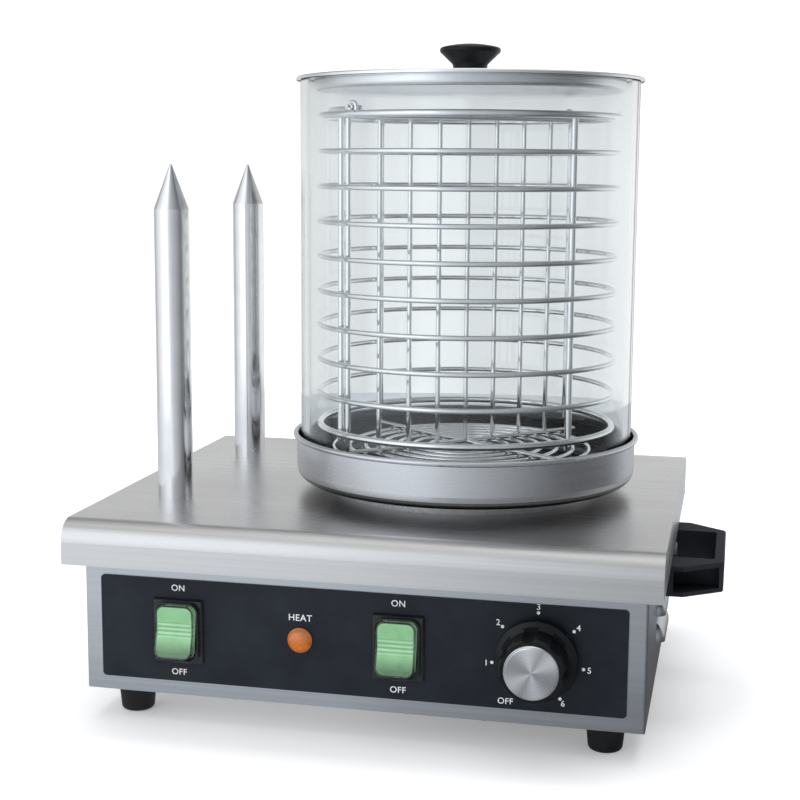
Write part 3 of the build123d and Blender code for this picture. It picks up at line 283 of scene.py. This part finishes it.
def green_rocker(name, low, high, middle_z, glow):
    """Green rocker lit from behind: deep colour below, pale above, painted highlights on finger
    ridges and painted shade in the grooves between them.
    """
    t = Tree(name)
    x, y, z = t.split(t.position())
    height = t.math("SUBTRACT", z, middle_z)
    rise = t.range(height, 0.0, 1.0, -0.0105, -0.0030)
    body = t.blend(t.math("MAXIMUM", t.math("MINIMUM", rise, 1.0), 0.0), low, high)
    above = t.math("SUBTRACT", height, 0.0022)
    wave = t.math("SINE", t.math("MULTIPLY", above, 2 * pi / RIDGE_PITCH))
    near = t.math("LESS_THAN", t.math("ABSOLUTE", above), RIDGE_HALF)
    # Painted shade in the grooves and painted highlights on the finger ridges.
    groove_shade = t.math("MULTIPLY", t.range(wave, 0.55, 0.0, -1.0, 0.0), near, clamp=True)
    body = t.blend(groove_shade, body, (0.16, 0.42, 0.18))
    ridge_highlight = t.math("MULTIPLY", t.range(wave, 0.0, 0.65, 0.0, 1.0), near, clamp=True)
    body = t.blend(ridge_highlight, body, (0.86, 1.0, 0.88))
    cloud = t.noise(t.position(), 160.0, 2.0)
    shade = t.blend(t.range(cloud, 0.0, 0.08), body, (0.75, 0.92, 0.78))
    t.set(Base_Color=shade, Roughness=t.range(cloud, 0.25, 0.35), Emission_Color=shade,
          Emission_Strength=glow, Normal=t.bump(cloud, 0.00002, 0.5))
    return t.material


def lamp_lens(name, colour, pale, rim_shade, centre, rim_radius, glow):
    """Amber lens: cut facets behind the face, paler above, with painted shade where the dome turns
    in at its border.
    """
    t = Tree(name)
    x, y, z = t.split(t.position())
    dx, dz = t.math("SUBTRACT", x, centre[0]), t.math("SUBTRACT", z, centre[1])
    radius = t.math("SQRT", t.math("ADD", t.math("MULTIPLY", dx, dx), t.math("MULTIPLY", dz, dz)))
    angle = t.math("ARCTAN2", dz, dx)
    facet = t.noise(t.join(t.math("MULTIPLY", angle, 2.2), t.math("MULTIPLY", radius, 500.0), 0.0),
                    1.0, 2.0, 0.6)
    upper = t.range(dz, 0.0, 0.8, -0.001, 0.006)
    upper = t.math("MAXIMUM", upper, 0.0)
    body = t.blend(t.range(facet, 0.0, 1.0, 0.35, 0.65), tuple(c * 0.72 for c in colour), colour)
    body = t.blend(upper, body, pale)
    # Painted shade: the lens darkens towards its border, where the dome turns in.
    painted_edge_shade = t.range(radius, 0.0, 1.0, rim_radius - 0.0003, rim_radius + 0.0002)
    painted_edge_shade = t.math("MINIMUM", t.math("MAXIMUM", painted_edge_shade, 0.0), 1.0)
    shade = t.blend(painted_edge_shade, body, rim_shade)
    t.set(Base_Color=shade, Roughness=t.range(facet, 0.14, 0.24), Emission_Color=shade,
          Emission_Strength=glow, Normal=t.bump(facet, 0.00004, 0.5))
    return t.material


def plated(name, colour, rough):
    """Zinc or nickel plate: dull, slightly crystalline."""
    t = Tree(name)
    position = t.position()
    crystal = t.add("ShaderNodeTexVoronoi")
    t.link(position, crystal.inputs["Vector"])
    crystal.inputs["Scale"].default_value = 420.0
    fine = t.noise(position, 700.0, 2.0)
    shade = t.blend(crystal.outputs["Distance"], tuple(c * 0.86 for c in colour), colour)
    t.set(Base_Color=shade, Metallic=1.0, Roughness=t.range(fine, rough - 0.06, rough + 0.1),
          Normal=t.bump(fine, 0.00001, 0.5))
    return t.material


def ink(name, colour):
    """Screen printed ink."""
    t = Tree(name)
    speck = t.noise(t.position(), 2500.0, 2.0)
    shade = t.blend(t.range(speck, 0.0, 1.0), tuple(c * 0.9 for c in colour), colour)
    t.set(Base_Color=shade, Roughness=t.range(speck, 0.42, 0.55),
          Normal=t.bump(speck, 0.000005, 0.4))
    return t.material


AXIS = (GLASS_X, GLASS_Y)
DIAL = (KNOB_X, PANEL_MID_Z)
COVER = brushed_steel("cover_steel", (0.68, 0.675, 0.67), 0.30, 1.0)
HOUSING = brushed_steel("housing_steel", (0.55, 0.57, 0.60), 0.34, 1.0)
# Painted shade darkens the pan's inner part.
PAN = spun_steel("pan_steel", (0.64, 0.65, 0.67), 0.27, AXIS, inside=(0.1018, 0.27),
                 streak=0.985)
LID = spun_steel("lid_steel", (0.91, 0.915, 0.93), 0.26, AXIS, streak=0.98)
# The cap's bright streaks are painted highlights.
CAP = cap_with_painted_highlights("cap_aluminium", (0.50, 0.51, 0.53), (1.0, 1.0, 1.0), 0.26, DIAL,
                  ((-11, 8.0), (57, 10.0)))
SPIKE = polished("spike_aluminium", (0.88, 0.88, 0.89), 0.12, (1, 1, 0.02))
WIRE = polished("wire_steel", (0.96, 0.96, 0.97), 0.08, (1, 1, 1))
CAST = plated("cast_aluminium", (0.62, 0.62, 0.63), 0.5)
ZINC = plated("zinc_plate", (0.62, 0.62, 0.62), 0.34)
BRASS = plated("nickelled_brass", (0.66, 0.6, 0.46), 0.3)
SHEATH = plated("heater_sheath", (0.16, 0.155, 0.15), 0.55)
COPPER = plated("copper_tube", (0.75, 0.4, 0.26), 0.3)
PANEL = moulded("panel_overlay", (0.008, 0.012, 0.019), 0.42, 0.000008, 2200.0, 0.25)
BLACK = moulded("black_plastic", (0.0035, 0.0045, 0.006), 0.30, 0.000010, 1600.0, 0.24)
HANDLE = moulded("handle_plastic", (0.020, 0.022, 0.027), 0.58, 0.000015, 1600.0, 0.04)
SWITCH = moulded("switch_plastic", (0.010, 0.011, 0.013), 0.20, 0.000006, 1800.0, 0.5)
RUBBER = moulded("foot_rubber", (0.010, 0.010, 0.011), 0.6, 0.00003, 900.0, 0.25)
CERAMIC = moulded("terminal_ceramic", (0.72, 0.7, 0.64), 0.4, 0.00002, 900.0)
SLEEVE = moulded("wire_sleeve", (0.35, 0.04, 0.035), 0.5, 0.00002, 1200.0)
GLASS = clear("glass", (0.93, 0.955, 0.955), 1.47, 0.0, 0.00002)
BOOT = frosted("boot", (0.90, 0.98, 0.92), 0.05, 0.98)
GREEN = green_rocker("green_lens", (0.022, 0.17, 0.012), (0.38, 0.76, 0.38), PANEL_MID_Z, 0.30)
AMBER = lamp_lens("amber_lens", (0.62, 0.16, 0.012), (0.68, 0.27, 0.12), (0.018, 0.004, 0.002),
                  (LAMP_X, PANEL_MID_Z), 0.0069, 0.12)
PRINT = ink("panel_print", (0.95, 0.96, 0.97))

DRESS = {
    COVER: ["top_cover"],
    HOUSING: ["housing"],
    PAN: ["water_pan"],
    LID: ["lid"],
    CAP: ["knob_cap"],
    SPIKE: ["front_spike", "back_spike"],
    WIRE: ["basket_hoops", "basket_posts", "basket_divider", "basket_grid", "basket_grid_bars",
           "basket_legs", "bail_staples", "bail_handle"],
    CAST: ["heating_plate"],
    ZINC: ["bottom_plate", "foot_screws", "foot_nuts", "bottom_screws", "cover_nuts",
           "thermostat_body", "thermostat_screws", "thermostat_shaft", "reflector_tray",
           "heating_plate_nuts", "spike_washers", "spike_nuts", "handle_screws", "handle_nuts",
           "lid_knob_stud"],
    BRASS: ["earth_stud"],
    SHEATH: ["heating_element", "spike_heaters"],
    COPPER: ["thermostat_bulb", "thermostat_capillary"],
    PANEL: ["control_panel"],
    HANDLE: ["left_handle", "right_handle"],
    BLACK: ["thermostat_knob", "lid_knob", "cable_gland",
            "gland_nut", "pilot_lamp_body", "pilot_lamp_nut"],
    SWITCH: ["left_switch_body", "right_switch_body"],
    RUBBER: ["feet"],
    CERAMIC: ["terminal_block"],
    SLEEVE: ["wiring"],
    GLASS: ["glass_cylinder"],
    BOOT: ["left_switch_boot", "right_switch_boot"],
    GREEN: ["left_rocker", "right_rocker"],
    AMBER: ["pilot_lamp_lens"],
}
for material, names in DRESS.items():
    for name in names:
        slots = NODES[name].material_slots
        for slot in slots:
            slot.material = material


# ------------------------------------------------------------------ panel print
CAPITAL_SHARE = 0.73                    # height of a capital as a share of the font's size
INK_DEPTH, STROKE_SWELL = 0.00003, 0.00003
DOT_CORNERS = 24


def add_mesh(name, vertices, faces, material, body):
    mesh = bpy.data.meshes.new(name)
    mesh.from_pydata(vertices, [], faces)
    mesh.materials.append(material)
    piece = bpy.data.objects.new(name, mesh)
    bpy.context.scene.collection.objects.link(piece)
    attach(piece, body)
    return piece


def lettering(name, text, x, z, height, material, y, body="base"):
    """Flat printed letters that stand a hair in front of a face that looks along -Y."""
    curve = bpy.data.curves.new(name, "FONT")
    curve.body = text
    curve.align_x = "CENTER"
    curve.align_y = "CENTER"
    curve.size = height / CAPITAL_SHARE
    curve.extrude = INK_DEPTH
    curve.resolution_u = 6
    curve.offset = STROKE_SWELL
    curve.space_character = 1.06
    holder = bpy.data.objects.new(name + "_curve", curve)
    bpy.context.scene.collection.objects.link(holder)
    bpy.context.view_layer.update()
    mesh = bpy.data.meshes.new_from_object(holder)
    bpy.data.objects.remove(holder)
    mesh.transform(Matrix.Translation((x, y, z)) @ Matrix.Rotation(pi / 2, 4, "X"))
    mesh.materials.clear()
    mesh.materials.append(material)
    piece = bpy.data.objects.new(name, mesh)
    bpy.context.scene.collection.objects.link(piece)
    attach(piece, body)
    return piece


def printed_dots(name, centres, radius, y):
    """Round printed dots as one piece."""
    vertices, faces = [], []
    for x, z in centres:
        first = len(vertices)
        for k in range(DOT_CORNERS):
            turn = 2 * pi * k / DOT_CORNERS
            vertices.append((x + radius * cos(turn), y, z + radius * sin(turn)))
        faces.append(tuple(range(first, first + DOT_CORNERS)))
    return add_mesh(name, vertices, faces, PRINT, "base")


INK_Y = PANEL_FACE - 0.00006            # the ink stands a hair in front of the panel
SWITCH_TEXT, LAMP_TEXT, DIAL_TEXT = 0.0036, 0.0038, 0.0034      # heights of the capitals
ON_ABOVE, OFF_BELOW, HEAT_ABOVE = 0.0241, 0.0239, 0.0122        # from the panel's middle
DOT_RING, DOT_R = 0.0246, 0.0009
DIAL_REACH, OFF_REACH, OFF_SHIFT = 0.0277, 0.0290, 0.0022
for side in ("left", "right"):
    low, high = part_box(side + "_switch_body")
    middle = (low[0] + high[0]) / 2
    lettering(side + "_on", "ON", middle, PANEL_MID_Z + ON_ABOVE, SWITCH_TEXT, PRINT, INK_Y)
    lettering(side + "_off", "OFF", middle, PANEL_MID_Z - OFF_BELOW, SWITCH_TEXT, PRINT, INK_Y)
lettering("heat", "HEAT", LAMP_X, PANEL_MID_Z + HEAT_ABOVE, LAMP_TEXT, PRINT, INK_Y)
DIAL_MARKS = [("1", -100), ("2", -50), ("3", 0), ("4", 50), ("5", 100), ("6", 150), ("OFF", -150)]
dots = []
for text, clockwise in DIAL_MARKS:
    turn = radians(clockwise)
    dots.append((KNOB_X + DOT_RING * sin(turn), PANEL_MID_Z + DOT_RING * cos(turn)))
    reach = OFF_REACH if text == "OFF" else DIAL_REACH
    x, z = KNOB_X + reach * sin(turn), PANEL_MID_Z + reach * cos(turn)
    if text == "OFF":
        x -= OFF_SHIFT
    lettering("dial_" + text, text, x, z, DIAL_TEXT, PRINT, INK_Y)
printed_dots("dial_dots", dots, DOT_R, INK_Y - 0.00002)

# ------------------------------------------------------------------ floor, light, camera
def studio_sweep():
    """Pale floor that curves up into a wall far behind the object."""
    wall_y, bend, height, half = 2.7, 1.4, 5.0, 10.0
    profile = [(-18.0, 0.0), (wall_y - bend, 0.0)]
    for k in range(1, 25):
        turn = pi / 2 * k / 24
        profile.append((wall_y - bend + bend * sin(turn), bend - bend * cos(turn)))
    profile.append((wall_y, height))
    vertices = [(x, y, z) for y, z in profile for x in (-half, half)]
    faces = [(2 * k, 2 * k + 1, 2 * k + 3, 2 * k + 2) for k in range(len(profile) - 1)]
    mesh = bpy.data.meshes.new("floor")
    mesh.from_pydata(vertices, [], faces)
    mesh.polygons.foreach_set("use_smooth", [True] * len(faces))
    floor = bpy.data.objects.new("floor", mesh)
    bpy.context.scene.collection.objects.link(floor)
    tree = Tree("studio_floor")
    tree.set(Base_Color=(0.93, 0.93, 0.93), Roughness=0.9, Specular_IOR_Level=0.0,
             Emission_Color=(1.0, 1.0, 1.0), Emission_Strength=0.22)
    mesh.materials.append(tree.material)


def studio_sky():
    """Soft light from above that falls off towards the horizon."""
    world = bpy.data.worlds.new("studio")
    bpy.context.scene.world = world
    world.use_nodes = True
    nodes, links = world.node_tree.nodes, world.node_tree.links
    direction = nodes.new("ShaderNodeTexCoord")
    split = nodes.new("ShaderNodeSeparateXYZ")
    links.new(direction.outputs["Generated"], split.inputs[0])
    ramp = nodes.new("ShaderNodeValToRGB")
    links.new(split.outputs[2], ramp.inputs[0])
    ramp.color_ramp.elements[0].position = 0.0
    ramp.color_ramp.elements[0].color = (0.10, 0.105, 0.115, 1)
    ramp.color_ramp.elements[1].position = 0.97
    ramp.color_ramp.elements[1].color = (1.0, 1.0, 1.0, 1)
    for place, colour in ((0.35, (0.35, 0.36, 0.38, 1)), (0.82, (0.50, 0.51, 0.53, 1))):
        ramp.color_ramp.elements.new(place).color = colour
    links.new(ramp.outputs[0], nodes["Background"].inputs[0])
    nodes["Background"].inputs[1].default_value = 1.0


def softbox(name, place, aim, size, power):
    """Rectangular studio light; power is its radiance, whatever its size."""
    data = bpy.data.lights.new(name, "AREA")
    data.shape = "RECTANGLE"
    data.size, data.size_y = size
    data.energy = power * size[0] * size[1] * pi
    lamp = bpy.data.objects.new(name, data)
    lamp.location = place
    lamp.rotation_euler = (Vector(aim) - Vector(place)).to_track_quat("-Z", "Y").to_euler()
    bpy.context.scene.collection.objects.link(lamp)
    return lamp


TENT_R, TENT_H = 1.15, 1.6
# Brightness of the light tent round the object: (degrees from +X towards +Y, radiance)
TENT = [(-180, 0.80), (-160, 0.95), (-140, 1.25), (-124, 1.45), (-106, 1.40), (-98, 0.95),
        (-92, 0.80), (-77, 0.60), (-50, 0.42), (-17, 0.20), (5, 0.25), (28, 0.95), (60, 1.0),
        (84, 0.92), (90, 0.92), (91, 0.85), (98, 0.85), (99, 1.0), (102, 1.0), (103, 0.92),
        (106, 0.92), (107, 0.82), (109, 0.82), (112, 0.92), (130, 0.92), (150, 0.65),
        (167, 0.50), (180, 0.80)]
# The same for the cloth on the ground round the object
CLOTH = [(-180, 0.75), (-140, 0.95), (-98, 0.95), (-85, 0.66), (-60, 0.46), (-17, 0.12),
         (25, 0.14), (45, 0.70), (70, 0.68), (100, 0.66), (150, 0.62), (180, 0.75)]
# How the cloth brightens away from the object, with a painted shadow of the object near its base:
# (radius, factor)
CLOTH_SHADOW_RISE = [(0.0, 0.58), (0.25, 0.58), (0.45, 1.0), (1.15, 1.0)]


def between(stops, value):
    """Value read off a list of (place, level) stops."""
    for (a, low), (b, high) in zip(stops, stops[1:]):
        if value <= b:
            return low + (high - low) * (value - a) / (b - a)
    return stops[-1][1]


def tent_glow(azimuth, height):
    """Radiance of the tent at a direction and a height."""
    glow = between(TENT, azimuth)
    behind = max(0.0, sin(radians(azimuth))) ** 0.5
    front_fade = between([(0, 1.0), (0.9, 1.0), (TENT_H, 0.6)], height)
    back_fade = between([(0, 1.0), (0.32, 1.0), (0.42, 0.87), (0.52, 0.70), (0.65, 0.55),
                         (1.0, 0.25), (TENT_H, 0.35)], height)
    return glow * (front_fade + (back_fade - front_fade) * behind)


def only_reflected(piece):
    """Seen in reflections and through the glass, and by nothing else."""
    piece.visible_camera = False
    piece.visible_diffuse = False
    piece.visible_shadow = False


def glowing(name, vertices, faces, glows):
    """Studio surface that lights by its own glow, painted as (radiance, share of blue)."""
    mesh = bpy.data.meshes.new(name)
    mesh.from_pydata(vertices, [], faces)
    paint = mesh.color_attributes.new("glow", "FLOAT_COLOR", "POINT")
    for vertex, (glow, blue) in enumerate(glows):
        paint.data[vertex].color = (glow * (1.0 - 0.06 * blue), glow * (1.0 - 0.015 * blue),
                                    glow * (1.0 + 0.04 * blue), 1.0)
    tree = Tree(name)
    source = tree.add("ShaderNodeAttribute", attribute_name="glow")
    tree.set(Base_Color=(0.0, 0.0, 0.0), Specular_IOR_Level=0.0,
             Emission_Color=source.outputs["Color"], Emission_Strength=1.0)
    mesh.materials.append(tree.material)
    piece = bpy.data.objects.new(name, mesh)
    bpy.context.scene.collection.objects.link(piece)
    return piece


def light_tent():
    """Round tent of cloth, lit unevenly; only reflections and the glass show it."""
    columns, rows = 360, 32
    vertices, glows, faces = [], [], []
    for row in range(rows + 1):
        z = TENT_H * row / rows
        for column in range(columns):
            azimuth = -180 + 360 * column / columns
            turn = radians(azimuth)
            vertices.append((TENT_R * cos(turn), TENT_R * sin(turn), z))
            glows.append((tent_glow(azimuth, z), 0.2 + 0.8 * max(0.0, -sin(turn)) ** 0.5))
    for row in range(rows):
        for column in range(columns):
            a, b = row * columns + column, row * columns + (column + 1) % columns
            faces.append((a, b, b + columns, a + columns))
    only_reflected(glowing("light_tent", vertices, faces, glows))


def grey_cloth():
    """Grey cloth round the object that keeps the floor's glare out of the metal."""
    rings = (0.0, 0.25, 0.35, 0.45, 0.8, TENT_R)
    columns = 120
    vertices, glows, faces = [], [], []
    for radius in rings:
        for column in range(columns):
            turn = radians(-180 + 360 * column / columns)
            x, y = radius * cos(turn), radius * sin(turn)
            vertices.append((x, y, 0.0006))
            # The cloth is dimmer near the object: a painted shadow of the object, seen in the
            # metal.
            glows.append((between(CLOTH, -180 + 360 * column / columns)
                          * between(CLOTH_SHADOW_RISE, radius), 1.0))
    for ring in range(len(rings) - 1):
        for column in range(columns):
            a, b = ring * columns + column, ring * columns + (column + 1) % columns
            faces.append((a, b, b + columns, a + columns))
    only_reflected(glowing("grey_cloth", vertices, faces, glows))


def hidden_from_metal(lamp):
    """Keeps a lamp's own shape out of the steel and the glass."""
    lamp.visible_glossy = False
    lamp.visible_transmission = False


studio_sweep()
studio_sky()
light_tent()
grey_cloth()
hidden_from_metal(softbox("left_bank", (-1.9, -0.5, 0.9), (0, 0, 0.2), (0.7, 1.8), 3.0))
hidden_from_metal(softbox("front_bank", (-1.0, -2.2, 1.2), (0, 0, 0.2), (1.2, 1.6), 2.0))
hidden_from_metal(softbox("right_strip", (1.9, 0.2, 0.9), (0, 0, 0.2), (0.35, 1.8), 2.5))
hidden_from_metal(softbox("back_wash", (0.0, 0.6, 3.4), (0, 2.2, 1.0), (3.5, 1.0), 2.6))
hidden_from_metal(softbox("overhead", (0.0, 0.2, 2.4), (0, 0, 0), (2.2, 1.6), 1.4))

CAMERA_PLACE = (0.1957, -0.8926, 0.3103)
YAW, PITCH, ROLL = radians(12.63), radians(8.82), radians(0.39)
FOCAL, FRAME_WIDTH = 1519.9, 800        # focal length and width of the frame, in its own units
forward = Vector((-sin(YAW) * cos(PITCH), cos(YAW) * cos(PITCH), -sin(PITCH)))
right = Vector((cos(YAW), sin(YAW), 0))
up = right.cross(forward)
right, up = right * cos(ROLL) + up * sin(ROLL), up * cos(ROLL) - right * sin(ROLL)
camera_data = bpy.data.cameras.new("camera")
camera_data.sensor_width = 36.0
camera_data.lens = FOCAL / FRAME_WIDTH * camera_data.sensor_width
camera_data.clip_start = 0.01
camera = bpy.data.objects.new("camera", camera_data)
rotation = Matrix((right, up, -forward)).transposed()
camera.matrix_world = Matrix.Translation(CAMERA_PLACE) @ rotation.to_4x4()
bpy.context.scene.collection.objects.link(camera)
bpy.context.scene.camera = camera
bpy.context.scene.view_settings.view_transform = "Standard"
